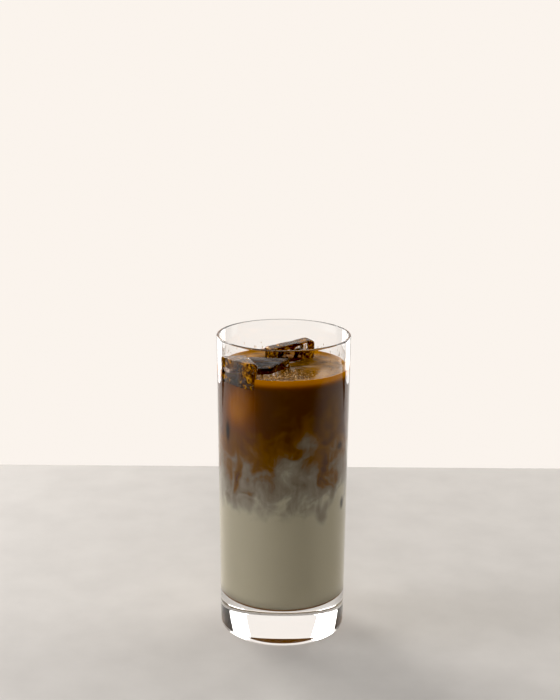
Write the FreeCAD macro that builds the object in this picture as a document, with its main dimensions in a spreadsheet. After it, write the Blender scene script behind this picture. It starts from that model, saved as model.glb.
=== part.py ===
import FreeCAD, Part
import os
import Sketcher

# A tall straight tumbler with a thick clear base, filled with milk under coffee.
# Three pieces of ice stand out of the coffee. The origin is the middle of the foot, +Z is up,
# and the glass is looked at along +Y, with +X to the right. Lengths in mm, angles in degrees.

# alias, value, what it is
SIZES = [
    ("glassHeight", 147.4, "foot to rim"),
    ("rimRadius", 32.0, "outside of the wall at the rim"),
    ("footRadius", 30.4, "outside of the wall at the foot"),
    ("rimWall", 1.3, "wall thickness at the rim"),
    ("floorWall", 1.9, "wall thickness at the inner floor"),
    ("baseThickness", 16.6, "solid glass under the drink"),
    ("floorRound", 7.0, "radius of the inner corner at the floor"),
    ("footRound", 1.8, "radius of the outer edge at the foot"),
    ("rimRound", 0.55, "radius of both edges of the rim"),
    ("puntRadius", 24.6, "radius of the hollow under the foot"),
    ("puntDepth", 0.85, "depth of the hollow under the foot"),
    ("freeboard", 15.9, "rim down to the coffee's surface"),
    ("meniscusHeight", 1.2, "how far the coffee climbs up the wall"),
    ("meniscusWidth", 2.1, "how wide the climbing edge is"),
    ("milkDepth", 47.4, "inner floor up to the top of the milk"),
    ("marbledDepth", 33.0, "height of the layer where milk and coffee mix"),
    ("filmThickness", 0.8, "coffee between the wall and the sunken ice"),
    ("filmDrop", 4.2, "surface down to where the film starts"),
    ("iceGap", 0.9, "coffee between neighbouring pieces of ice"),
    ("iceRound", 1.8, "radius of the melted edges of the ice"),
    ("pairTurn", 17.0, "turn of the front and middle ice"),
    ("frontIceBearing", 21.0, "its corner on the wall, from the front to the left"),
    ("frontIceWidth", 16.0, "along its front face"),
    ("frontIceDepth", 22.0, "front to back"),
    ("frontIceTall", 26.0, "top to bottom"),
    ("frontIceRise", 8.4, "its top above the coffee"),
    ("frontIceDraft", 3.0, "narrowing of its sides towards the bottom"),
    ("middleIceSetback", 11.5, "its front edge behind that of the front ice"),
    ("middleIceFront", 8.5, "width of its front face"),
    ("middleIceBack", 23.0, "width across its back corner"),
    ("middleIceRight", 12.0, "depth of its right corner"),
    ("middleIceLeft", 18.0, "depth of its left side"),
    ("middleIceTall", 15.0, "top to bottom"),
    ("middleIceRise", 2.8, "its front edge above the coffee"),
    ("middleIceTilt", 9.0, "slope of its top, up towards the back"),
    ("middleIceDraft", 4.0, "narrowing of its sides towards the bottom"),
    ("backIceAlong", 13.0, "where along the middle ice its corner stands"),
    ("backIceTurn", 16.5, "turn beyond that of the other two"),
    ("backIceWidth", 26.0, "along its front face"),
    ("backIceDepth", 9.5, "front to back"),
    ("backIceTall", 26.0, "top to bottom"),
    ("backIceRise", 7.9, "its left corner above the coffee"),
    ("backIceTilt", 3.3, "slope of its top, up towards the right"),
    ("backIceDraft", 4.0, "narrowing of its sides towards the bottom"),
]

doc = FreeCAD.newDocument("IcedLatte")


def makeSheet():
    sheet = doc.addObject("Spreadsheet::Sheet", "Sizes")
    for row, (alias, value, meaning) in enumerate(SIZES, start=1):
        sheet.set(f"A{row}", meaning)
        sheet.set(f"B{row}", str(value))
        sheet.setAlias(f"B{row}", alias)
    doc.recompute()
    return sheet


# Formulas over the sheet that several pieces share.
SURFACE = "(Sizes.glassHeight - Sizes.freeboard)"
MILK_TOP = "(Sizes.baseThickness + Sizes.milkDepth)"
MARBLED_TOP = f"({MILK_TOP} + Sizes.marbledDepth)"
RIM_INSIDE = "(Sizes.rimRadius - Sizes.rimWall)"
FLOOR_OUTSIDE = (
    "(Sizes.footRadius + (Sizes.rimRadius - Sizes.footRadius)"
    " * Sizes.baseThickness / Sizes.glassHeight)"
)
FLOOR_INSIDE = f"({FLOOR_OUTSIDE} - Sizes.floorWall)"


def insideAt(height):
    """Formula for the inner radius of the wall at a height given as a formula."""
    rise = f"({height} - Sizes.baseThickness) / (Sizes.glassHeight - Sizes.baseThickness)"
    return f"({FLOOR_INSIDE} + ({RIM_INSIDE} - {FLOOR_INSIDE}) * {rise})"


def originPlane(body, role):
    return next(f for f in body.Origin.OriginFeatures if f.Role == role)


def sketchOutline(body, name, role, corners, arcEdge=None, levelEnd=1):
    """Closed outline through corners given as pairs of formulas.

    The edge that starts at corner number arcEdge is an arc that runs anticlockwise and
    is level at its first end, 1, or its last, 2.
    """
    sketch = body.newObject("Sketcher::SketchObject", name)
    sketch.AttachmentSupport = (originPlane(body, role), [""])
    sketch.MapMode = "FlatFace"
    points = [
        FreeCAD.Vector(float(sketch.evalExpression(x)), float(sketch.evalExpression(y)), 0)
        for x, y in corners
    ]
    count = len(points)
    for n in range(count):
        start, end = points[n], points[(n + 1) % count]
        if n == arcEdge:
            sketch.addGeometry(levelArc(start, end, levelEnd), False)
        else:
            sketch.addGeometry(Part.LineSegment(start, end), False)
    for n in range(count):
        after = (n + 1) % count
        sketch.addConstraint(Sketcher.Constraint("Coincident", n, 2, after, 1))
    for n, (x, y) in enumerate(corners):
        placeCorner(sketch, n, x, points[n].x, "DistanceX", -2)
        placeCorner(sketch, n, y, points[n].y, "DistanceY", -1)
    if arcEdge is not None:
        sketch.addConstraint(Sketcher.Constraint("Vertical", arcEdge, 3, arcEdge, levelEnd))
    return sketch


def levelArc(start, end, levelEnd):
    """Arc that rises from start to end and is level at one of them."""
    across, up = end.x - start.x, end.y - start.y
    radius = (across * across + up * up) / (2 * up)
    if levelEnd == 1:
        centre = start + FreeCAD.Vector(0, radius, 0)
    else:
        centre = end - FreeCAD.Vector(0, radius, 0)
    halfway = centre + ((start + end) * 0.5 - centre).normalize() * radius
    return Part.Arc(start, halfway, end)


def placeCorner(sketch, corner, formula, value, kind, axis):
    if formula == "0":
        sketch.addConstraint(Sketcher.Constraint("PointOnObject", corner, 1, axis))
        return
    number = sketch.addConstraint(Sketcher.Constraint(kind, -1, 1, corner, 1, value))
    sketch.setExpression(f"Constraints[{number}]", formula)


def turned(body, name, sketch, kind="PartDesign::Revolution"):
    turn = body.newObject(kind, name)
    turn.Profile = sketch
    turn.ReferenceAxis = (sketch, ["V_Axis"])
    turn.Angle = 360
    sketch.Visibility = False
    doc.recompute()
    return turn


def rounded(body, name, feature, edges, radius):
    fillet = body.newObject("PartDesign::Fillet", name)
    fillet.Base = (feature, edges)
    fillet.setExpression("Radius", radius)
    doc.recompute()
    return fillet


def circlesAt(feature, height, radius=None):
    """Names of the round edges at one height, of one radius if it is given."""
    names = []
    for n, edge in enumerate(feature.Shape.Edges, start=1):
        box = edge.BoundBox
        level = abs(box.ZMin - height) < 0.01 and abs(box.ZMax - height) < 0.01
        if level and (radius is None or abs(box.XMax - radius) < 0.01):
            names.append(f"Edge{n}")
    return names


def newBody(name):
    body = doc.addObject("PartDesign::Body", name)
    body.Label = name
    return body


def makeGlass(sheet):
    body = newBody("glass")
    outside = sketchOutline(body, "GlassOutline", "XZ_Plane", [
        ("0", "0"),
        ("Sizes.footRadius", "0"),
        ("Sizes.rimRadius", "Sizes.glassHeight"),
        ("0", "Sizes.glassHeight"),
    ])
    blank = turned(body, "GlassBlank", outside)
    inside = sketchOutline(body, "InsideOutline", "XZ_Plane", [
        ("0", "Sizes.baseThickness"),
        (FLOOR_INSIDE, "Sizes.baseThickness"),
        (RIM_INSIDE, "Sizes.glassHeight"),
        ("0", "Sizes.glassHeight"),
    ])
    hollow = turned(body, "GlassInside", inside, "PartDesign::Groove")
    # The hollow under the foot is a shallow cap, level in the middle.
    under = sketchOutline(body, "PuntOutline", "XZ_Plane", [
        ("0", "0"),
        ("Sizes.puntRadius", "0"),
        ("0", "Sizes.puntDepth"),
    ], arcEdge=1, levelEnd=2)
    punt = turned(body, "GlassPunt", under, "PartDesign::Groove")
    if not punt.Shape.Volume < hollow.Shape.Volume < blank.Shape.Volume:
        raise RuntimeError("a groove in the glass cut nothing")
    floorCorner = circlesAt(punt, sheet.baseThickness)
    floor = rounded(body, "FloorCorner", punt, floorCorner, "Sizes.floorRound")
    footEdge = circlesAt(floor, 0, sheet.footRadius) + circlesAt(floor, 0, sheet.puntRadius)
    foot = rounded(body, "FootEdge", floor, footEdge, "Sizes.footRound")
    rounded(body, "RimEdge", foot, circlesAt(foot, sheet.glassHeight), "Sizes.rimRound")
    return body


def makeFill(sheet):
    """The whole drink, before it is parted into layers, with its edge climbing the wall."""
    body = newBody("WholeDrink")
    meniscusTop = f"({SURFACE} + Sizes.meniscusHeight)"
    profile = sketchOutline(body, "DrinkOutline", "XZ_Plane", [
        ("0", SURFACE),
        (f"{insideAt(meniscusTop)} - Sizes.meniscusWidth", SURFACE),
        (insideAt(meniscusTop), meniscusTop),
        (FLOOR_INSIDE, "Sizes.baseThickness"),
        ("0", "Sizes.baseThickness"),
    ], arcEdge=1)
    drink = turned(body, "DrinkTurned", profile)
    rounded(body, "DrinkFloor", drink, circlesAt(drink, sheet.baseThickness), "Sizes.floorRound")
    return body


def makeIceReach():
    """The space that ice may take: up to the wall near the surface, a film short of it below."""
    body = newBody("IceReach")
    filmTop = f"({SURFACE} - Sizes.filmDrop)"
    above = "(Sizes.glassHeight)"
    outline = sketchOutline(body, "IceReachOutline", "XZ_Plane", [
        ("0", "Sizes.baseThickness"),
        (f"{FLOOR_INSIDE} - Sizes.filmThickness", "Sizes.baseThickness"),
        (f"{insideAt(filmTop)} - Sizes.filmThickness", filmTop),
        (insideAt(f"({filmTop} + Sizes.filmThickness)"), f"{filmTop} + Sizes.filmThickness"),
        (RIM_INSIDE, above),
        ("0", above),
    ])
    turned(body, "IceReachTurned", outline)
    return body


def makeBlock(name, corners, tall, draft, place):
    """A block of ice hanging from its top face, whose front left corner is its own origin."""
    body = newBody(name)
    outline = sketchOutline(body, name + "Outline", "XY_Plane", corners)
    pad = body.newObject("PartDesign::Pad", name + "Pad")
    pad.Profile = outline
    pad.Reversed = True
    pad.setExpression("Length", tall)
    pad.setExpression("TaperAngle", f"-{draft}")
    doc.recompute()
    everyEdge = [f"Edge{n + 1}" for n in range(len(pad.Shape.Edges))]
    rounded(body, name + "Edges", pad, everyEdge, "Sizes.iceRound")
    body.setExpression("Placement", place)
    doc.recompute()
    return body


def placement(x, y, z, turn, pitch="0", roll="0"):
    """Formula for a place, turned about Z and then tilted about its own Y and X."""
    return f"placement(vector({x}; {y}; {z}); rotation({turn}; {pitch}; {roll}))"


def along(x, y, turn, right, back):
    """Formulas for a point that lies right and back of x, y in axes turned by an angle."""
    return (
        f"({x} + ({right}) * cos({turn} * 1deg) - ({back}) * sin({turn} * 1deg))",
        f"({y} + ({right}) * sin({turn} * 1deg) + ({back}) * cos({turn} * 1deg))",
    )


def makeIce():
    reach = makeIceReach()
    pairTurn = "Sizes.pairTurn"

    wallCorner = insideAt(SURFACE)
    frontX = f"(-{wallCorner} * sin(Sizes.frontIceBearing * 1deg))"
    frontY = f"(-{wallCorner} * cos(Sizes.frontIceBearing * 1deg))"
    frontBlock = makeBlock(
        "FrontBlock",
        [
            ("-Sizes.frontIceWidth", "0"),
            ("0", "0"),
            ("0", "Sizes.frontIceDepth"),
            ("-Sizes.frontIceWidth", "Sizes.frontIceDepth"),
        ],
        "Sizes.frontIceTall",
        "Sizes.frontIceDraft",
        placement(frontX, frontY, f"{SURFACE} + Sizes.frontIceRise", pairTurn),
    )

    middleX, middleY = along(frontX, frontY, pairTurn, "Sizes.iceGap", "Sizes.middleIceSetback")
    middleBlock = makeBlock(
        "MiddleBlock",
        [
            ("0", "0"),
            ("Sizes.middleIceFront", "0"),
            ("Sizes.middleIceBack", "Sizes.middleIceRight"),
            ("0", "Sizes.middleIceLeft"),
        ],
        "Sizes.middleIceTall",
        "Sizes.middleIceDraft",
        placement(middleX, middleY, f"{SURFACE} + Sizes.middleIceRise", pairTurn,
                  roll="Sizes.middleIceTilt"),
    )

    # The back ice has its corner just behind the slanting back face of the middle ice.
    backFall = "(Sizes.middleIceLeft - Sizes.middleIceRight) / Sizes.middleIceBack"
    backLine = f"(Sizes.middleIceLeft - Sizes.backIceAlong * {backFall} + Sizes.iceGap)"
    backX, backY = along(middleX, middleY, pairTurn, "Sizes.backIceAlong", backLine)
    backBlock = makeBlock(
        "BackBlock",
        [
            ("0", "0"),
            ("Sizes.backIceWidth", "0"),
            ("Sizes.backIceWidth", "Sizes.backIceDepth"),
            ("0", "Sizes.backIceDepth"),
        ],
        "Sizes.backIceTall",
        "Sizes.backIceDraft",
        placement(backX, backY, f"{SURFACE} + Sizes.backIceRise",
                  f"({pairTurn} + Sizes.backIceTurn)", pitch="-Sizes.backIceTilt"),
    )

    pieces = []
    for name, block in (
        ("ice_front", frontBlock), ("ice_middle", middleBlock), ("ice_back", backBlock)
    ):
        piece = doc.addObject("Part::Common", name)
        piece.Label = name
        piece.Base = block
        piece.Tool = reachCopy(reach, name)
        pieces.append(piece)
    return pieces


def reachCopy(reach, name):
    copy = doc.addObject("App::Link", name + "Reach")
    copy.LinkedObject = reach
    return copy


def makeLayer(name, fill, bottom, top, ice):
    """One layer of the drink between two heights, cut round the ice that sinks into it."""
    slab = doc.addObject("Part::Cylinder", name + "Slab")
    slab.setExpression("Radius", "Sizes.rimRadius")
    slab.setExpression("Height", f"{top} - {bottom}")
    slab.setExpression("Placement", placement("0", "0", bottom, "0"))
    layer = doc.addObject("Part::Common", name + "Whole")
    layer.Base = fill
    layer.Tool = slab
    if ice is not None:
        whole = layer
        layer = doc.addObject("Part::Cut", name)
        layer.Base = whole
        layer.Tool = ice
    layer.Label = name
    return layer


def makeDrink(sheet, icePieces):
    fill = makeFill(sheet)
    allIce = doc.addObject("Part::MultiFuse", "AllIce")
    allIce.Shapes = icePieces
    overflow = f"({SURFACE} + Sizes.meniscusHeight)"
    return [
        makeLayer("milk", fill, "Sizes.baseThickness", MILK_TOP, None),
        makeLayer("marbled_layer", fill, MILK_TOP, MARBLED_TOP, allIce),
        makeLayer("coffee", fill, MARBLED_TOP, overflow, allIce),
    ]


def checkAll(nodes):
    for item in doc.Objects:
        if "Invalid" in item.State or "Error" in item.State:
            raise RuntimeError(f"{item.Name} failed: {item.State}")
    for node in nodes:
        shape = node.Shape
        if shape.isNull() or not shape.isValid() or len(shape.Solids) != 1:
            raise RuntimeError(f"{node.Label} is not one valid solid")


sizes = makeSheet()
glass = makeGlass(sizes)
ice = makeIce()
nodes = [glass] + makeDrink(sizes, ice) + ice
doc.recompute()
checkAll(nodes)
os.makedirs("parts", exist_ok=True)
for node in nodes:
    node.Shape.exportStep(f"parts/{node.Label}.step")
    box = node.Shape.BoundBox
    print(f"{node.Label}: {node.Shape.Volume / 1000:.1f} ml, Z {box.ZMin:.1f} to {box.ZMax:.1f}")
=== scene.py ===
import math
import random

import bmesh
import bpy
from mathutils import Matrix, Vector, noise
from mathutils.bvhtree import BVHTree


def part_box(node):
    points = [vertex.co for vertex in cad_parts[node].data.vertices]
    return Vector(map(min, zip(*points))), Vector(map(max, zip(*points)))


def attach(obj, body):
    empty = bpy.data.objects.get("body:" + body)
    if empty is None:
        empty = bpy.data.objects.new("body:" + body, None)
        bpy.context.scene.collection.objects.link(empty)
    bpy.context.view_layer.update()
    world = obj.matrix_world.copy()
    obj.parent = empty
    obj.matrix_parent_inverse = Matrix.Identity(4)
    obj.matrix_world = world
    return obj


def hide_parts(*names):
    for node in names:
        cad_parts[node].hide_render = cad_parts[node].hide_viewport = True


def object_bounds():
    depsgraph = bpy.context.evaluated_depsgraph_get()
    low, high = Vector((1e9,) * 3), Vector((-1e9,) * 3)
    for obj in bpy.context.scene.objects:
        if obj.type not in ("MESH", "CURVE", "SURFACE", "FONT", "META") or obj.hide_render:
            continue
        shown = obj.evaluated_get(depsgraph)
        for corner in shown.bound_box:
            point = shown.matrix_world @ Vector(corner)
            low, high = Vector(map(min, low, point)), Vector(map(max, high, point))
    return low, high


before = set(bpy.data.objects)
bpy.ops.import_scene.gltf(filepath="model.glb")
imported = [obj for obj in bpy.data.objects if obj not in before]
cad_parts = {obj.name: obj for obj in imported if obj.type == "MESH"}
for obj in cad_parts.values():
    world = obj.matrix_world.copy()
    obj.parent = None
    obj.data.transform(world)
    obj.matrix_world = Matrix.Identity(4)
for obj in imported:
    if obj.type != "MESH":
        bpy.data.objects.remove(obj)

cadLow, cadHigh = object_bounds()
mm = 0.001
rootBody = "root"
coffeeIor = 1.34  # a little over water
view = {
    "black": 0.012,  # deepens the darkest tones
    "bounces": 24,  # light crosses many faces of glass and ice
    "throughGlass": 20,
    "throughClear": 16,
}
scene = bpy.context.scene
scene.view_settings.view_transform = "Standard"
scene.view_settings.use_curve_mapping = True
scene.view_settings.curve_mapping.black_level = [view["black"]] * 3
scene.view_settings.curve_mapping.update()
scene.cycles.max_bounces = view["bounces"]
scene.cycles.transmission_bounces = view["throughGlass"]
scene.cycles.transparent_max_bounces = view["throughClear"]
print("frame loaded")


def toLinear(hexColour):
    # sRGB hex to the linear values that shaders work in
    channels = [int(hexColour[n:n + 2], 16) / 255 for n in (0, 2, 4)]
    return tuple(
        c / 12.92 if c <= 0.04045 else ((c + 0.055) / 1.055) ** 2.4 for c in channels
    ) + (1.0,)


def addNode(tree, kind, inputs=None, stops=(), **settings):
    # an input is a value or another node's output, stops are (position, sRGB hex) pairs
    node = tree.nodes.new("ShaderNode" + kind)
    for name, value in settings.items():
        setattr(node, name, value)
    for socket, value in (inputs or {}).items():
        if isinstance(value, bpy.types.NodeSocket):
            tree.links.new(value, node.inputs[socket])
        else:
            node.inputs[socket].default_value = value
    for _ in stops[2:]:
        node.color_ramp.elements.new(0.5)
    for n, (position, colour) in enumerate(stops):
        node.color_ramp.elements[n].position = position
        node.color_ramp.elements[n].color = toLinear(colour)
    return node


def newMaterial(name):
    material = bpy.data.materials.new(name)
    material.use_nodes = True
    material.node_tree.nodes.clear()
    return material, material.node_tree


def placeInMm(tree):
    # patterns are laid out in the object's own space, so their sizes are real ones
    place = addNode(tree, "TexCoord").outputs["Object"]
    return addNode(
        tree, "VectorMath", {0: place, "Scale": 1 / mm}, operation="SCALE"
    ).outputs[0]


def arc(centreRadius, centreHeight, radius, startAngle, endAngle, steps=8):
    # points of a round stretch of an outline, in radius and height
    points = []
    for n in range(steps + 1):
        angle = math.radians(startAngle + (endAngle - startAngle) * n / steps)
        points.append((
            centreRadius + radius * math.cos(angle),
            centreHeight + radius * math.sin(angle),
        ))
    return points


def held(start, end, margin=0.4 * mm):
    # a straight stretch with an extra point near each end, which keeps its shading flat
    across, up = end[0] - start[0], end[1] - start[1]
    length = math.hypot(across, up)
    step = (across / length * margin, up / length * margin)
    return [
        start,
        (start[0] + step[0], start[1] + step[1]),
        (end[0] - step[0], end[1] - step[1]),
        end,
    ]


def lathe(name, outline, columns=192):
    # turns an outline of radius and height pairs, from axis to axis, into a closed mesh
    builder = bmesh.new()
    rings = []
    for radius, height in outline:
        if radius < 1e-6:
            rings.append([builder.verts.new((0, 0, height))])
            continue
        angles = [2 * math.pi * n / columns for n in range(columns)]
        rings.append([
            builder.verts.new((radius * math.cos(a), radius * math.sin(a), height))
            for a in angles
        ])
    for lower, upper in zip(rings, rings[1:]):
        for n in range(columns):
            after = (n + 1) % columns
            corners = [
                lower[n % len(lower)], lower[after % len(lower)],
                upper[after % len(upper)], upper[n % len(upper)],
            ]
            builder.faces.new(list(dict.fromkeys(corners)))
    bmesh.ops.remove_doubles(builder, verts=builder.verts, dist=1e-7)
    bmesh.ops.recalc_face_normals(builder, faces=builder.faces)
    return meshObject(name, builder)


def meshObject(name, builder, smoothBelow=35):
    for face in builder.faces:
        face.smooth = True
    limit = math.radians(smoothBelow)
    for edge in builder.edges:
        edge.smooth = edge.calc_face_angle(0) < limit
    mesh = bpy.data.meshes.new(name)
    builder.to_mesh(mesh)
    builder.free()
    piece = bpy.data.objects.new(name, mesh)
    scene.collection.objects.link(piece)
    return piece


def applyModifiers(piece):
    depsgraph = bpy.context.evaluated_depsgraph_get()
    mesh = bpy.data.meshes.new_from_object(piece.evaluated_get(depsgraph))
    piece.modifiers.clear()
    piece.data = mesh


glassShape = {
    "footRadius": 30.4 * mm,
    "floorRound": 7.0 * mm,
    "footRound": 1.8 * mm,
    "rimRound": 0.55 * mm,
    "puntRadius": 24.6 * mm,
    "puntDepth": 0.65 * mm,
    "puntEdge": 0.3 * mm,  # flat between the hollow and the foot's ring
    "columns": 256,
}
milkLow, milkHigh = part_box("milk")
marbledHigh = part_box("marbled_layer")[1]
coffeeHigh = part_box("coffee")[1]
drinkShape = {
    "meniscusHeight": 1.2 * mm,
    "meniscusWidth": 2.1 * mm,
    "meniscusSteps": 6,
    "intoWall": 0.3 * mm,  # the drink reaches into the glass, so no air shows between them
    "filmDrop": 4.2 * mm,  # under this depth a film of coffee parts the ice from the wall
}
surfaceHeight = coffeeHigh.z - drinkShape["meniscusHeight"]


def insideRadius(height):
    # the wall's inner face is a straight taper through the tops of the two lower layers
    slope = (marbledHigh.x - milkHigh.x) / (marbledHigh.z - milkHigh.z)
    return milkHigh.x + slope * (height - milkHigh.z)


glassFinish = {"colour": "ffffff", "roughness": 0.0, "ior": 1.5}


def makeGlassMaterial():
    # Soda-lime glass, drawn wall and pressed base, fire polished: clear, sharp and bright,
    # with dark lines where it is seen edge on. Lamps shine straight through it.
    material, tree = newMaterial("clearSodaLimeGlass")
    clear = addNode(tree, "BsdfGlass", {
        "Color": toLinear(glassFinish["colour"]),
        "Roughness": glassFinish["roughness"],
        "IOR": glassFinish["ior"],
    })
    path = addNode(tree, "LightPath")
    both = addNode(tree, "MixShader", {
        0: path.outputs["Is Shadow Ray"],
        1: clear.outputs[0],
        2: addNode(tree, "BsdfTransparent").outputs[0],
    })
    addNode(tree, "OutputMaterial", {"Surface": both.outputs[0]})
    return material


def makeGlass():
    shape = glassShape
    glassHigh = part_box("glass")[1]
    height, rimRadius = glassHigh.z, glassHigh.x
    floor = milkLow.z
    rimInside = insideRadius(height)
    floorInside = insideRadius(floor)
    foot, rim, corner = shape["footRound"], shape["rimRound"], shape["floorRound"]
    taper = (rimRadius - shape["footRadius"]) / height
    capWide, capTall = shape["puntRadius"], shape["puntDepth"]
    capRadius = (capWide ** 2 + capTall ** 2) / (2 * capTall)
    capEnd = math.degrees(math.acos(capWide / capRadius))
    underside = arc(0, capTall - capRadius, capRadius, 90, capEnd, steps=16)
    footEdge = arc(shape["footRadius"] - foot, foot, foot, -90, 0)
    underside += held((capWide + shape["puntEdge"], 0), footEdge[0])[:-1]
    rimTop = height - rim
    outerRim = arc(rimRadius - taper * rim - rim, rimTop, rim, 0, 90)
    innerRim = arc(rimInside + rim, rimTop, rim, 90, 180)
    floorCorner = arc(floorInside - corner, floor + corner, corner, 0, -90, steps=12)
    outline = underside
    outline += footEdge
    outline += held(footEdge[-1], outerRim[0])[1:]
    outline += outerRim[1:]
    outline += innerRim
    outline += held(innerRim[-1], floorCorner[0])[1:]
    outline += floorCorner[1:]
    outline += held(floorCorner[-1], (0, floor))[1:]
    glass = lathe("tumbler", outline, shape["columns"])
    glass.data.materials.append(makeGlassMaterial())
    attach(glass, rootBody)
    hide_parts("glass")


iceMelt = {
    "voxel": 0.6 * mm,  # fine enough for the rounded edges
    "softening": 5,  # smoothing passes that round the corners
    "dents": 0.5 * mm,  # depth of the hollows that melting leaves
    "dentSize": 9 * mm,
    "ripples": 0.14 * mm,
    "rippleSize": 2.6 * mm,
    "meltedBack": 0.35,  # what the whole surface loses, as a share of a dent
    "sunkIntoDrink": 0.4 * mm,
    "nearWall": 0.9 * mm,  # ice this near the wall is pressed to it
    "pastWall": 0.15 * mm,  # and reaches this far into the glass
    "pocketPastWall": 1.0 * mm,
}
iceBlocks = {
    # coffee clings to the ice in a broken film: film is how much of it is covered, and the
    # clear spot, in mm, is washed clean
    "ice_front": {"seed": 3, "film": 0.52, "clearSpot": (-22, -22, 134), "clearWide": 4},
    "ice_middle": {"seed": 11, "film": 0.40, "clearSpot": (-10, -6, 136), "clearWide": 6},
    "ice_back": {"seed": 23, "film": 0.56, "clearSpot": (5.5, 10, 138), "clearWide": 6.5},
}
iceFinish = {
    "colour": "ffffff",
    "roughness": 0.0,
    "ior": 1.31,
    "stain": "d09a4a",  # coffee that has soaked into the ice
    "stainPerMetre": 45.0,
}
filmFinish = {
    "thick": "1c1208",
    "middle": "6a3c06",
    "thin": "d8961e",
    "roughness": 0.16,
    "specular": 0.4,
    "patch": 6.5,  # mm
    "swirl": 3.2,  # mm
    "edge": (-0.05, 0.07),  # how softly a patch of film ends
    "clearTall": 3,  # a clear spot is this much taller than it is wide
}


def makeIceMaterial(name, look):
    # Tray ice, melting: clear and wet, with an index just under that of water, under a
    # broken film of coffee that shows nearly black where thick and amber where thin.
    material, tree = newMaterial(name)
    clear = addNode(tree, "BsdfGlass", {
        "Color": toLinear(iceFinish["colour"]),
        "Roughness": iceFinish["roughness"],
        "IOR": iceFinish["ior"],
    })
    position = placeInMm(tree)
    moved = addNode(
        tree, "VectorMath", {0: position, 1: (look["seed"], 0, 0)}, operation="ADD"
    ).outputs[0]
    patches = addNode(tree, "TexNoise", {
        "Vector": moved, "Scale": 1 / filmFinish["patch"], "Detail": 4.0, "Distortion": 1.6,
    }).outputs["Fac"]
    swirls = addNode(tree, "TexNoise", {
        "Vector": moved, "Scale": 1 / filmFinish["swirl"], "Detail": 3.0, "Distortion": 2.2,
    }).outputs["Fac"]
    wide = look["clearWide"]
    spot = softPatch(tree, position, look["clearSpot"], wide, wide * filmFinish["clearTall"])
    bare = 1.0 - look["film"]
    filmed = addNode(tree, "MapRange", {
        "Value": patches,
        "From Min": bare + filmFinish["edge"][0], "From Max": bare + filmFinish["edge"][1],
    }, interpolation_type="SMOOTHSTEP").outputs[0]
    covered = addNode(
        tree, "Math", {0: filmed, 1: spot}, operation="SUBTRACT", use_clamp=True
    ).outputs[0]
    colour = addNode(tree, "ValToRGB", {"Fac": swirls}, [
        (0.38, filmFinish["thick"]),
        (0.5, filmFinish["middle"]),
        (0.64, filmFinish["thin"]),
    ]).outputs["Color"]
    film = addNode(tree, "BsdfPrincipled", {
        "Base Color": colour, "Roughness": filmFinish["roughness"], "IOR": coffeeIor,
        "Specular IOR Level": filmFinish["specular"],
    })
    surface = addNode(tree, "MixShader", {
        0: covered, 1: clear.outputs[0], 2: film.outputs[0],
    })
    stain = addNode(tree, "VolumeAbsorption", {
        "Color": toLinear(iceFinish["stain"]), "Density": iceFinish["stainPerMetre"],
    })
    addNode(tree, "OutputMaterial", {"Surface": surface.outputs[0], "Volume": stain.outputs[0]})
    return material


def meltedIce(node, seed):
    # the node's own shape, made fine and then worn by melting
    builder = bmesh.new()
    builder.from_mesh(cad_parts[node].data)
    bmesh.ops.remove_doubles(builder, verts=builder.verts, dist=1e-6)
    block = meshObject(node + "_melted", builder)
    remesh = block.modifiers.new("fine", "REMESH")
    remesh.mode = "VOXEL"
    remesh.voxel_size = iceMelt["voxel"]
    soften = block.modifiers.new("soften", "SMOOTH")
    soften.factor = 0.5
    soften.iterations = iceMelt["softening"]
    applyModifiers(block)
    offset = Vector((seed, seed * 1.7, -seed))
    normals = [vertex.normal.copy() for vertex in block.data.vertices]
    for vertex, normal in zip(block.data.vertices, normals):
        dent = noise.noise(vertex.co / iceMelt["dentSize"] + offset)
        ripple = noise.noise(vertex.co / iceMelt["rippleSize"] + offset)
        push = (dent - iceMelt["meltedBack"]) * iceMelt["dents"] + ripple * iceMelt["ripples"]
        vertex.co += normal * push
    return block


def pressToWall(mesh, reach):
    # moves what lies by the wall above the coffee's film out to a given reach past its face
    filmTop = surfaceHeight - drinkShape["filmDrop"]
    for vertex in mesh.vertices:
        across = math.hypot(vertex.co.x, vertex.co.y)
        wall = insideRadius(vertex.co.z)
        if vertex.co.z > filmTop and across > wall - iceMelt["nearWall"]:
            factor = (wall + reach) / across
            vertex.co.x *= factor
            vertex.co.y *= factor


def makeIce():
    blocks = []
    for node, look in iceBlocks.items():
        block = meltedIce(node, look["seed"])
        pressToWall(block.data, iceMelt["pastWall"])
        for polygon in block.data.polygons:
            polygon.use_smooth = True
        block.data.materials.append(makeIceMaterial(node + "MeltingClearIce", look))
        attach(block, rootBody)
        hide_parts(node)
        blocks.append(block)
    return blocks


def cutRoundIce(drink, blocks):
    # pockets a little smaller than the ice, so that the ice reaches into the coffee
    cutters = []
    for block in blocks:
        cutter = block.copy()
        cutter.data = block.data.copy()
        normals = [vertex.normal.copy() for vertex in cutter.data.vertices]
        for vertex, normal in zip(cutter.data.vertices, normals):
            vertex.co -= normal * iceMelt["sunkIntoDrink"]
        pressToWall(cutter.data, iceMelt["pocketPastWall"])
        scene.collection.objects.link(cutter)
        cut = drink.modifiers.new("pocket", "BOOLEAN")
        cut.operation = "DIFFERENCE"
        cut.solver = "EXACT"
        cut.object = cutter
        cutters.append(cutter)
    applyModifiers(drink)
    for cutter in cutters:
        bpy.data.objects.remove(cutter)


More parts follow.
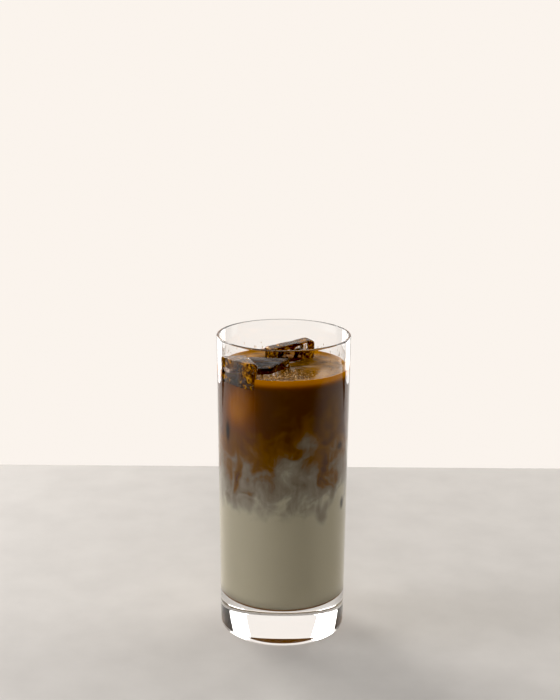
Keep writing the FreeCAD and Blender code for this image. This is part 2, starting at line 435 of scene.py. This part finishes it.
drinkColours = {
    "milk": "b6ae97",
    "cloud": "968e7e",
    "mixed": "7e705f",
    "brown": "79521e",
    "coffee": "593c2a",
    # the next two colours are those of a painted glow of light through the coffee
    "paintedGlowAmber": "c27a00",
    "paintedGlowAmberDeep": "8a4a00",
    # painted shade: warm brown under the milk
    "paintedUnderShade": "8a6030",
    "hollow": "0c0a06",
}
marbling = {
    "warpSize": 20.0,  # mm, how far apart the big swirls are
    "warp": 7.5,  # mm, how far they carry the layers
    "cloudSize": 9.0,  # mm
    "cloudStrength": 0.62,
    "streakAcross": 3.4,  # mm
    "streakTall": 20.0,  # mm
    "streakStrength": 0.22,
    # mm over the top of the milk and over the top of the marbled layer
    "allMilkBelow": -1,
    "allCoffeeAbove": 12,
    "swirlsBegin": (-6, 12),
    "swirlsFade": (-4, 28),
    "swirlsLeft": 0.2,  # what stays of them above that
    # milk rising into the coffee, or coffee sinking into the milk where amount is negative
    "wisps": [
        {"bearing": 8, "height": 90, "wide": 10, "tall": 9, "amount": 0.34},
        {"bearing": 24, "height": 104, "wide": 5, "tall": 11, "amount": 0.26},
        {"bearing": 50, "height": 113, "wide": 8, "tall": 15, "amount": 0.17},
        {"bearing": -46, "height": 80, "wide": 3.2, "tall": 13, "amount": -0.42},
        {"bearing": -34, "height": 77, "wide": 2.6, "tall": 11, "amount": -0.36},
        {"bearing": -57, "height": 77, "wide": 3.0, "tall": 11, "amount": -0.3},
        {"bearing": 40, "height": 84, "wide": 3.0, "tall": 12, "amount": -0.42},
        {"bearing": 50, "height": 78, "wide": 3.0, "tall": 10, "amount": -0.36},
        # this last one is painted shade: a darker patch where the milk meets the marbled layer,
        # on the right
        {"bearing": 38, "height": 66, "wide": 5, "tall": 4.5, "amount": -0.42},
    ],
}
drinkPlaces = {
    # light comes through the ice pressed to the wall and lights the coffee's film below it
    "glows": [
        {"bearing": -40, "height": 120, "wide": 13, "tall": 15, "amount": 0.6},
        {"bearing": -54, "height": 104, "wide": 12, "tall": 18, "amount": 0.28},
        {"bearing": -24, "height": 101, "wide": 10, "tall": 12, "amount": 0.2},
    ],
    # small near-black spots painted on the drink's side
    "hollows": [
        {"bearing": -57.3, "height": 104.5, "wide": 2.0, "tall": 6.4, "amount": 1.0},
        {"bearing": 60, "height": 97, "wide": 2.8, "tall": 2.2, "amount": 0.8},
        {"bearing": 67.4, "height": 67, "wide": 2.2, "tall": 3.6, "amount": 0.9},
    ],
    # mm under the coffee's top edge, between which it is painted amber, a painted glow of light
    # through the coffee near its surface
    "paintedGlowBandEnds": (6.16, 0.84),
    # mm over the floor, between which the painted brown shade on the milk's underside and floor
    # corner ends
    "paintedUnderShadeEnds": (0.96, 2.24),
}
drinkRoughness = 0.9


def pointOnWall(place):
    # bearing is from the front towards the right, height in mm
    radius = insideRadius(place["height"] * mm) / mm
    angle = math.radians(place["bearing"])
    return (radius * math.sin(angle), -radius * math.cos(angle), place["height"])


patchEdge = (0.2, 1.3)  # where a patch starts to fade and where it ends, in its own sizes


def softPatch(tree, position, middle, wide, tall):
    # 1 in the middle of a soft egg-shaped patch, 0 outside it
    away = addNode(tree, "VectorMath", {0: position, 1: middle}, operation="SUBTRACT")
    scaled = addNode(
        tree, "VectorMath", {0: away.outputs[0], 1: (1 / wide, 1 / wide, 1 / tall)},
        operation="MULTIPLY",
    )
    far = addNode(tree, "VectorMath", {0: scaled.outputs[0]}, operation="LENGTH")
    near = addNode(tree, "MapRange", {
        "Value": far.outputs["Value"],
        "From Min": patchEdge[0], "From Max": patchEdge[1], "To Min": 1.0, "To Max": 0.0,
    }, interpolation_type="SMOOTHSTEP")
    return near.outputs[0]


def patchesTogether(tree, position, places, total):
    # adds every patch, times its amount, to the total
    for place in places:
        patch = softPatch(tree, position, pointOnWall(place), place["wide"], place["tall"])
        total = addNode(
            tree, "Math", {0: patch, 1: place["amount"], 2: total}, operation="MULTIPLY_ADD"
        ).outputs[0]
    return total


def milkAmount(tree, position):
    # how much milk there is at a point of the drink, from 0 for coffee to 1 for milk
    lower, upper = milkHigh.z / mm, marbledHigh.z / mm
    warpNoise = addNode(tree, "TexNoise", {
        "Vector": position, "Scale": 1 / marbling["warpSize"], "Detail": 2.5,
    }).outputs["Color"]
    centred = addNode(
        tree, "VectorMath", {0: warpNoise, 1: (0.5, 0.5, 0.5)}, operation="SUBTRACT"
    ).outputs[0]
    carried = addNode(
        tree, "VectorMath", {0: centred, "Scale": marbling["warp"] * 2}, operation="SCALE"
    ).outputs[0]
    warped = addNode(
        tree, "VectorMath", {0: position, 1: carried}, operation="ADD"
    ).outputs[0]
    warpedHeight = addNode(tree, "SeparateXYZ", {0: warped}).outputs["Z"]
    byHeight = addNode(tree, "MapRange", {
        "Value": warpedHeight,
        "From Min": lower + marbling["allMilkBelow"],
        "From Max": upper + marbling["allCoffeeAbove"],
        "To Min": 1.0, "To Max": 0.0,
    }).outputs[0]
    clouds = addNode(tree, "TexNoise", {
        "Vector": warped, "Scale": 1 / marbling["cloudSize"], "Detail": 5.0,
        "Roughness": 0.55, "Distortion": 0.7,
    }).outputs["Fac"]
    across, tall = 1 / marbling["streakAcross"], 1 / marbling["streakTall"]
    stretched = addNode(tree, "Mapping", {
        "Vector": position, "Scale": (across, across, tall),
    }).outputs[0]
    streaks = addNode(tree, "TexNoise", {
        "Vector": stretched, "Scale": 1.0, "Detail": 3.0,
    }).outputs["Fac"]
    # swirls are strongest in the marbled layer and fade into the milk and the coffee
    height = addNode(tree, "SeparateXYZ", {0: position}).outputs["Z"]
    begin, fade = marbling["swirlsBegin"], marbling["swirlsFade"]
    overMilk = addNode(tree, "MapRange", {
        "Value": height, "From Min": lower + begin[0], "From Max": lower + begin[1],
    }, interpolation_type="SMOOTHSTEP").outputs[0]
    underCoffee = addNode(tree, "MapRange", {
        "Value": height,
        "From Min": upper + fade[0], "From Max": upper + fade[1],
        "To Min": 1.0, "To Max": marbling["swirlsLeft"],
    }, interpolation_type="SMOOTHSTEP").outputs[0]
    band = addNode(
        tree, "Math", {0: overMilk, 1: underCoffee}, operation="MULTIPLY"
    ).outputs[0]
    strengths = (marbling["cloudStrength"] * 2, marbling["streakStrength"] * 2)
    total = byHeight
    for pattern, strength in zip((clouds, streaks), strengths):
        centredPattern = addNode(
            tree, "Math", {0: pattern, 1: 0.5}, operation="SUBTRACT"
        ).outputs[0]
        share = addNode(
            tree, "Math", {0: band, 1: strength}, operation="MULTIPLY"
        ).outputs[0]
        total = addNode(
            tree, "Math", {0: centredPattern, 1: share, 2: total}, operation="MULTIPLY_ADD"
        ).outputs[0]
    total = patchesTogether(tree, warped, marbling["wisps"], total)
    return addNode(tree, "Math", {0: total, 1: 0.0}, operation="ADD", use_clamp=True).outputs[0]


def makeDrinkMaterial(name):
    # Milk and coffee behind glass: no gloss of its own, since the glass touches it, and
    # clouds and drips a few millimetres across where the two run into each other.
    colours = drinkColours
    material, tree = newMaterial(name)
    position = placeInMm(tree)
    mixed = addNode(tree, "ValToRGB", {"Fac": milkAmount(tree, position)}, [
        (0.02, colours["coffee"]),
        (0.28, colours["brown"]),
        (0.5, colours["mixed"]),
        (0.78, colours["cloud"]),
        (0.98, colours["milk"]),
    ]).outputs["Color"]
    height = addNode(tree, "SeparateXYZ", {0: position}).outputs["Z"]
    top = coffeeHigh.z / mm
    # painted light: an amber glow in a band under the coffee's top and in patches under the ice
    # at the wall
    band = addNode(tree, "MapRange", {
        "Value": height,
        "From Min": top - drinkPlaces["paintedGlowBandEnds"][0],
        "From Max": top - drinkPlaces["paintedGlowBandEnds"][1],
    }, interpolation_type="SMOOTHSTEP").outputs[0]
    glow = patchesTogether(tree, position, drinkPlaces["glows"], 0.0)
    paintedGlow = addNode(tree, "Math", {0: band, 1: glow}, operation="MAXIMUM", use_clamp=True)
    paintedGlowAmber = addNode(tree, "ValToRGB", {"Fac": paintedGlow.outputs[0]}, [
        (0.0, colours["coffee"]),
        (0.45, colours["paintedGlowAmberDeep"]),
        (0.9, colours["paintedGlowAmber"]),
    ]).outputs["Color"]
    withPaintedGlow = addNode(
        tree, "Mix", {"Factor": paintedGlow.outputs[0], 6: mixed, 7: paintedGlowAmber}, data_type="RGBA"
    ).outputs[2]
    floor = milkLow.z / mm
    # painted shade: the milk's underside and the bottom of its floor corner are painted warm
    # brown
    underShadeMask = addNode(tree, "MapRange", {
        "Value": height,
        "From Min": floor + drinkPlaces["paintedUnderShadeEnds"][0],
        "From Max": floor + drinkPlaces["paintedUnderShadeEnds"][1],
        "To Min": 1.0, "To Max": 0.0,
    }, interpolation_type="SMOOTHSTEP").outputs[0]
    paintedUnderShade = addNode(tree, "Mix", {
        "Factor": underShadeMask, 6: withPaintedGlow, 7: toLinear(colours["paintedUnderShade"]),
    }, data_type="RGBA").outputs[2]
    # near-black spots painted on the drink's side
    hollow = patchesTogether(tree, position, drinkPlaces["hollows"], 0.0)
    finished = addNode(tree, "Mix", {
        "Factor": hollow, 6: paintedUnderShade, 7: toLinear(colours["hollow"]),
    }, data_type="RGBA").outputs[2]
    shader = addNode(tree, "BsdfPrincipled", {
        "Base Color": finished, "Roughness": drinkRoughness, "Specular IOR Level": 0.0,
    })
    addNode(tree, "OutputMaterial", {"Surface": shader.outputs[0]})
    return material


coffeeTop = {
    "froth": "a87422",
    "deep": "5c3a08",
    "rim": "b0760c",  # painted glow: light through the thin coffee, golden where it climbs the wall
    "patchSize": 7.0,  # mm
    "bubbleSize": 0.9,  # mm
    "bubbleHeight": 0.2 * mm,
    "bubbleBump": 0.25,
    "rimStart": 0.8,  # mm inside the climbing edge
    "rimFull": 0.4,  # share of that edge, from the wall
    "roughness": 0.12,
    "specular": 0.25,
    # a face is open surface if it points up this much and lies no further down or out
    "isUp": 0.3,
    "deepest": 0.2 * mm,
    "pastWall": 0.1 * mm,
}


def makeCoffeeTopMaterial():
    # Open coffee surface: a wet gloss over fine brown froth left by pouring, with a painted
    # golden glow of light at the wall.
    material, tree = newMaterial("frothyCoffeeSurface")
    position = placeInMm(tree)
    patches = addNode(tree, "TexNoise", {
        "Vector": position, "Scale": 1 / coffeeTop["patchSize"], "Detail": 4.0,
        "Roughness": 0.6,
    }).outputs["Fac"]
    bubbles = addNode(tree, "TexVoronoi", {
        "Vector": position, "Scale": 1 / coffeeTop["bubbleSize"],
    }).outputs["Distance"]
    colour = addNode(tree, "ValToRGB", {"Fac": patches}, [
        (0.35, coffeeTop["deep"]),
        (0.65, coffeeTop["froth"]),
    ]).outputs["Color"]
    flat = addNode(
        tree, "VectorMath", {0: position, 1: (1, 1, 0)}, operation="MULTIPLY"
    ).outputs[0]
    across = addNode(tree, "VectorMath", {0: flat}, operation="LENGTH").outputs["Value"]
    wall = insideRadius(surfaceHeight) / mm
    climb = drinkShape["meniscusWidth"] / mm
    # painted light: a golden ring where the coffee climbs the wall
    rim = addNode(tree, "MapRange", {
        "Value": across,
        "From Min": wall - climb - coffeeTop["rimStart"],
        "From Max": wall - climb * coffeeTop["rimFull"],
    }, interpolation_type="SMOOTHSTEP").outputs[0]
    paintedRimGlow = addNode(tree, "Mix", {
        "Factor": rim, 6: colour, 7: toLinear(coffeeTop["rim"]),
    }, data_type="RGBA").outputs[2]
    bump = addNode(tree, "Bump", {
        "Height": bubbles, "Strength": coffeeTop["bubbleBump"],
        "Distance": coffeeTop["bubbleHeight"],
    }).outputs[0]
    shader = addNode(tree, "BsdfPrincipled", {
        "Base Color": paintedRimGlow, "Normal": bump, "Roughness": coffeeTop["roughness"],
        "IOR": coffeeIor, "Specular IOR Level": coffeeTop["specular"],
    })
    addNode(tree, "OutputMaterial", {"Surface": shader.outputs[0]})
    return material


def makeLayer(name, node, bottom, top, isTop=False):
    # one layer of the drink: a plug that fills the glass between two heights, and if it is
    # the top one, climbs the wall a little
    reach = drinkShape["intoWall"]
    if node == "milk":
        corner = glassShape["floorRound"]
        floor = bottom - reach
        outline = held((0, floor), (insideRadius(bottom) + reach - corner, floor))
        outline += arc(outline[-1][0], floor + corner, corner, -90, 0, steps=12)[1:]
    else:
        outline = [(0, bottom), (insideRadius(bottom) + reach, bottom)]
    if isTop:
        wide, tall = drinkShape["meniscusWidth"], drinkShape["meniscusHeight"]
        steps = drinkShape["meniscusSteps"]
        wallTop = insideRadius(top + tall)
        outline += held(outline[-1], (wallTop + reach, top + tall))[1:]
        for n in range(steps + 1):
            share = n / steps
            outline.append((wallTop - wide * share, top + tall * (1 - share) ** 2))
        outline += held(outline[-1], (0, top))[1:]
    else:
        outline += held(outline[-1], (insideRadius(top) + reach, top))[1:]
        outline += [(0, top)]
    layer = lathe(name, outline)
    layer.data.materials.append(makeDrinkMaterial(name + "Surface"))
    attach(layer, rootBody)
    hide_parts(node)
    return layer


def makeDrink(blocks):
    makeLayer("coldMilk", "milk", milkLow.z, milkHigh.z)
    makeLayer("marbledMilkCoffee", "marbled_layer", milkHigh.z, marbledHigh.z)
    coffee = makeLayer(
        "darkCoffee", "coffee", marbledHigh.z, surfaceHeight, isTop=True
    )
    cutRoundIce(coffee, blocks)
    coffee.data.materials.append(makeCoffeeTopMaterial())
    for polygon in coffee.data.polygons:
        across = math.hypot(polygon.center.x, polygon.center.y)
        nearTop = polygon.center.z > surfaceHeight - coffeeTop["deepest"]
        inside = across < insideRadius(polygon.center.z) + coffeeTop["pastWall"]
        if nearTop and inside and polygon.normal.z > coffeeTop["isUp"]:
            polygon.material_index = 1


frothLook = {
    "seed": 41,
    "bubbles": 300,
    "middle": (-3.0, -17.0),  # mm, in front of the ice
    "wide": 7.5,
    "deep": 5.5,
    "rimBubbles": 110,
    "rimFrom": -18,  # bearings
    "rimTo": 58,
    "smallest": 0.12 * mm,
    "largest": 0.42 * mm,
    "rimScatter": 0.3,  # mm
    "sunk": 0.2,  # of its radius
    "toneSize": 2 * mm,
    "colour": "e2bd84",
    "shade": "96620e",
    "roughness": 0.25,
}


def makeFroth(blocks):
    # small bubbles left by pouring, in front of the ice and along the edge of the coffee
    source = random.Random(frothLook["seed"])
    depsgraph = bpy.context.evaluated_depsgraph_get()
    trees = [BVHTree.FromObject(block, depsgraph) for block in blocks]
    flatRadius = insideRadius(surfaceHeight) - drinkShape["meniscusWidth"]
    places = []
    for _ in range(frothLook["bubbles"]):
        across = source.gauss(frothLook["middle"][0], frothLook["wide"]) * mm
        back = source.gauss(frothLook["middle"][1], frothLook["deep"]) * mm
        if math.hypot(across, back) < flatRadius:
            places.append((across, back))
    for _ in range(frothLook["rimBubbles"]):
        angle = math.radians(source.uniform(frothLook["rimFrom"], frothLook["rimTo"]))
        radius = flatRadius + source.gauss(0, frothLook["rimScatter"]) * mm
        places.append((radius * math.sin(angle), -radius * math.cos(angle)))
    builder = bmesh.new()
    for across, back in places:
        radius = source.uniform(frothLook["smallest"], frothLook["largest"])
        above = Vector((across, back, cadHigh.z))
        if any(tree.ray_cast(above, Vector((0, 0, -1)))[0] is not None for tree in trees):
            continue
        middle = Vector((across, back, surfaceHeight - radius * frothLook["sunk"]))
        bmesh.ops.create_icosphere(
            builder, subdivisions=2, radius=radius, matrix=Matrix.Translation(middle)
        )
    froth = meshObject("frothBubbles", builder, smoothBelow=80)
    # Coffee froth: thin-walled wet bubbles, pale and glossy against the coffee.
    material, tree = newMaterial("wetCoffeeFroth")
    place = addNode(tree, "TexCoord").outputs["Object"]
    tone = addNode(
        tree, "TexNoise", {"Vector": place, "Scale": 1 / frothLook["toneSize"]}
    ).outputs["Fac"]
    colour = addNode(tree, "ValToRGB", {"Fac": tone}, [
        (0.35, frothLook["shade"]),
        (0.65, frothLook["colour"]),
    ]).outputs["Color"]
    shader = addNode(tree, "BsdfPrincipled", {
        "Base Color": colour, "Roughness": frothLook["roughness"], "IOR": coffeeIor,
    })
    addNode(tree, "OutputMaterial", {"Surface": shader.outputs[0]})
    froth.data.materials.append(material)
    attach(froth, rootBody)


dropLook = {
    "seed": 17,
    "groups": [
        {"bearings": (42, 72), "heights": (134, 142), "count": 34},
        {"bearings": (-74, -44), "heights": (135, 145), "count": 30},
        {"bearings": (110, 250), "heights": (133, 137), "count": 24},
    ],
    "width": (0.07, 0.18),  # mm, half across
    "depth": 0.12,  # mm, half its thickness
    "height": (0.25, 0.9),  # mm, half its height: they run down
    "colour": "e6d4b8",
    "ior": 1.33,
}


def makeDrops():
    # drops of thin coffee on the inside of the wall, above the drink
    source = random.Random(dropLook["seed"])
    builder = bmesh.new()
    for group in dropLook["groups"]:
        for _ in range(group["count"]):
            bearing = source.uniform(*group["bearings"])
            height = source.uniform(*group["heights"])
            middle = Vector(pointOnWall({"bearing": bearing, "height": height})) * mm
            size = Vector((
                source.uniform(*dropLook["width"]),
                dropLook["depth"],
                source.uniform(*dropLook["height"]),
            )) * mm
            turn = Matrix.Rotation(math.radians(bearing), 4, "Z")
            place = Matrix.Translation(middle) @ turn @ Matrix.Diagonal(size).to_4x4()
            bmesh.ops.create_icosphere(builder, subdivisions=2, radius=1, matrix=place)
    drops = meshObject("wallDrops", builder, smoothBelow=80)
    # Thin coffee in drops: clear, wet and faintly brown.
    material, tree = newMaterial("thinCoffeeDrops")
    clear = addNode(tree, "BsdfGlass", {
        "Color": toLinear(dropLook["colour"]), "Roughness": 0.0, "IOR": dropLook["ior"],
    })
    addNode(tree, "OutputMaterial", {"Surface": clear.outputs[0]})
    drops.data.materials.append(material)
    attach(drops, rootBody)


stageLook = {
    "tableBack": 0.231,  # m from the glass to the far edge of the table
    "tableFront": -1.6,
    "tableWide": 3.0,
    "tableThick": 0.04,
    "grainSize": 25 * mm,
    "backdrop": "fbf4ed",
    "backdropFar": 1.5,
    "backdropHalf": 1.6,
    "backdropMiddle": 0.6,
    "backdropGlow": 1.02,  # its light on the object, over how bright it looks itself
    "room": "d9d5d1",
    "roomGlow": 0.06,  # the room is dim, so the glass has dark edges
    "table": "d5d1cc",
    "tableGrain": "cecac5",
    "shade": 0.22,  # the near table is shaded where the glass and drink mirror it
    "shadeEnds": (-0.3, -0.1),  # m from the glass, where the shade ends
}
cameraPlace = {
    "lens": 70.56,
    "distance": 633.6 * mm,
    "height": 302.4 * mm,
    "down": 14.42,  # degrees, as are the next two
    "turn": 0.16,
    "roll": 0.35,
}
lightsAim = (0, 0, 0.07)
lights = {
    # m, W and sRGB hex; the glass mirrors the window's lamps but not the room's
    "windowKey": {
        "place": (-0.75, 0.95, 0.75), "wide": 0.7, "tall": 0.7, "power": 7.5,
        "colour": "fffaf4", "mirrored": True,
    },
    "windowLeft": {
        "place": (-0.62, 0.9, 0.35), "wide": 0.4, "tall": 1.2, "power": 4.5,
        "colour": "ffffff", "mirrored": True,
    },
    "windowRight": {
        "place": (0.62, 0.9, 0.35), "wide": 0.4, "tall": 1.2, "power": 3.5,
        "colour": "ffffff", "mirrored": True,
    },
    "roomLeft": {
        "place": (-1.25, -0.1, 0.5), "wide": 0.5, "tall": 0.5, "power": 8.2,
        "colour": "f4f6fd", "mirrored": False,
    },
    "roomRight": {
        "place": (1.2, 0.5, 0.5), "wide": 0.5, "tall": 0.5, "power": 6.0,
        "colour": "fdfcfa", "mirrored": False,
    },
    "roomFill": {
        "place": (0.0, -1.4, 0.9), "wide": 0.6, "tall": 0.6, "power": 8.5,
        "colour": "f8f6f2", "mirrored": False,
    },
}


def makeTable():
    # Painted board, matt: pale, even and a little cool.
    material, tree = newMaterial("paleMattTable")
    place = addNode(tree, "TexCoord").outputs["Object"]
    grain = addNode(tree, "TexNoise", {
        "Vector": place, "Scale": 1 / stageLook["grainSize"], "Detail": 4.0,
    })
    colour = addNode(tree, "ValToRGB", {"Fac": grain.outputs["Fac"]}, [
        (0.3, stageLook["tableGrain"]),
        (0.7, stageLook["table"]),
    ]).outputs["Color"]
    back = addNode(tree, "SeparateXYZ", {0: place}).outputs["Y"]
    seen = addNode(tree, "LightPath").outputs["Is Camera Ray"]
    lit = addNode(tree, "MapRange", {
        "Value": back,
        "From Min": stageLook["shadeEnds"][0], "From Max": stageLook["shadeEnds"][1],
        "To Min": stageLook["shade"], "To Max": 1.0,
    }, interpolation_type="SMOOTHSTEP").outputs[0]
    share = addNode(tree, "Math", {0: seen, 1: lit}, operation="MAXIMUM").outputs[0]
    shaded = addNode(tree, "VectorMath", {0: colour, "Scale": share}, operation="SCALE")
    shader = addNode(tree, "BsdfPrincipled", {
        "Base Color": shaded.outputs[0], "Roughness": 0.6, "Specular IOR Level": 0.3,
    })
    addNode(tree, "OutputMaterial", {"Surface": shader.outputs[0]})
    builder = bmesh.new()
    bmesh.ops.create_cube(builder, size=1)
    for vertex in builder.verts:
        vertex.co.x *= stageLook["tableWide"]
        vertex.co.y = stageLook["tableBack"] if vertex.co.y > 0 else stageLook["tableFront"]
        vertex.co.z = 0.0 if vertex.co.z > 0 else -stageLook["tableThick"]
    table = meshObject("table", builder)
    table.data.materials.append(material)


def makeBackdrop():
    # Thin curtain in front of a bright window.
    material, tree = newMaterial("brightCurtain")
    strength = addNode(tree, "MapRange", {
        "Value": addNode(tree, "LightPath").outputs["Is Camera Ray"],
        "To Min": stageLook["backdropGlow"], "To Max": 1.0,
    }).outputs[0]
    glow = addNode(tree, "Emission", {
        "Color": toLinear(stageLook["backdrop"]), "Strength": strength,
    })
    addNode(tree, "OutputMaterial", {"Surface": glow.outputs[0]})
    builder = bmesh.new()
    upright = Matrix.Rotation(math.pi / 2, 3, "X")
    place = (0, stageLook["backdropFar"], stageLook["backdropMiddle"])
    bmesh.ops.create_grid(builder, x_segments=1, y_segments=1, size=stageLook["backdropHalf"])
    bmesh.ops.rotate(builder, verts=builder.verts, matrix=upright)
    bmesh.ops.translate(builder, verts=builder.verts, vec=place)
    backdrop = meshObject("backdrop", builder)
    backdrop.data.materials.append(material)


def makeWorld():
    world = bpy.data.worlds.new("paleRoom")
    scene.world = world
    world.use_nodes = True
    background = world.node_tree.nodes["Background"]
    background.inputs["Color"].default_value = toLinear(stageLook["room"])
    strength = addNode(world.node_tree, "MapRange", {
        "Value": addNode(world.node_tree, "LightPath").outputs["Is Camera Ray"],
        "To Min": stageLook["roomGlow"], "To Max": 1.0,
    }).outputs[0]
    world.node_tree.links.new(strength, background.inputs["Strength"])


def makeLights():
    for name, light in lights.items():
        lamp = bpy.data.lights.new(name, "AREA")
        lamp.shape = "RECTANGLE"
        lamp.size = light["wide"]
        lamp.size_y = light["tall"]
        lamp.energy = light["power"]
        lamp.color = toLinear(light["colour"])[:3]
        holder = bpy.data.objects.new(name, lamp)
        holder.location = light["place"]
        holder.visible_camera = False
        holder.visible_glossy = light["mirrored"]
        holder.visible_transmission = light["mirrored"]
        aim = Vector(lightsAim) - holder.location
        holder.rotation_euler = aim.to_track_quat("-Z", "Y").to_euler()
        scene.collection.objects.link(holder)


def makeCamera():
    data = bpy.data.cameras.new("camera")
    data.lens = cameraPlace["lens"]
    camera = bpy.data.objects.new("camera", data)
    camera.location = (0, -cameraPlace["distance"], cameraPlace["height"])
    look = Matrix.Rotation(math.radians(cameraPlace["turn"]), 4, "Z")
    look @= Matrix.Rotation(math.radians(90 - cameraPlace["down"]), 4, "X")
    look @= Matrix.Rotation(math.radians(cameraPlace["roll"]), 4, "Z")
    camera.rotation_euler = look.to_euler()
    scene.collection.objects.link(camera)
    scene.camera = camera


makeCamera()
makeTable()
makeBackdrop()
makeWorld()
makeLights()
print("stage ready")
makeGlass()
print("glass ready")
blocks = makeIce()
print("ice ready")
makeDrink(blocks)
print("drink ready")
makeFroth(blocks)
makeDrops()
print("froth and drops ready")
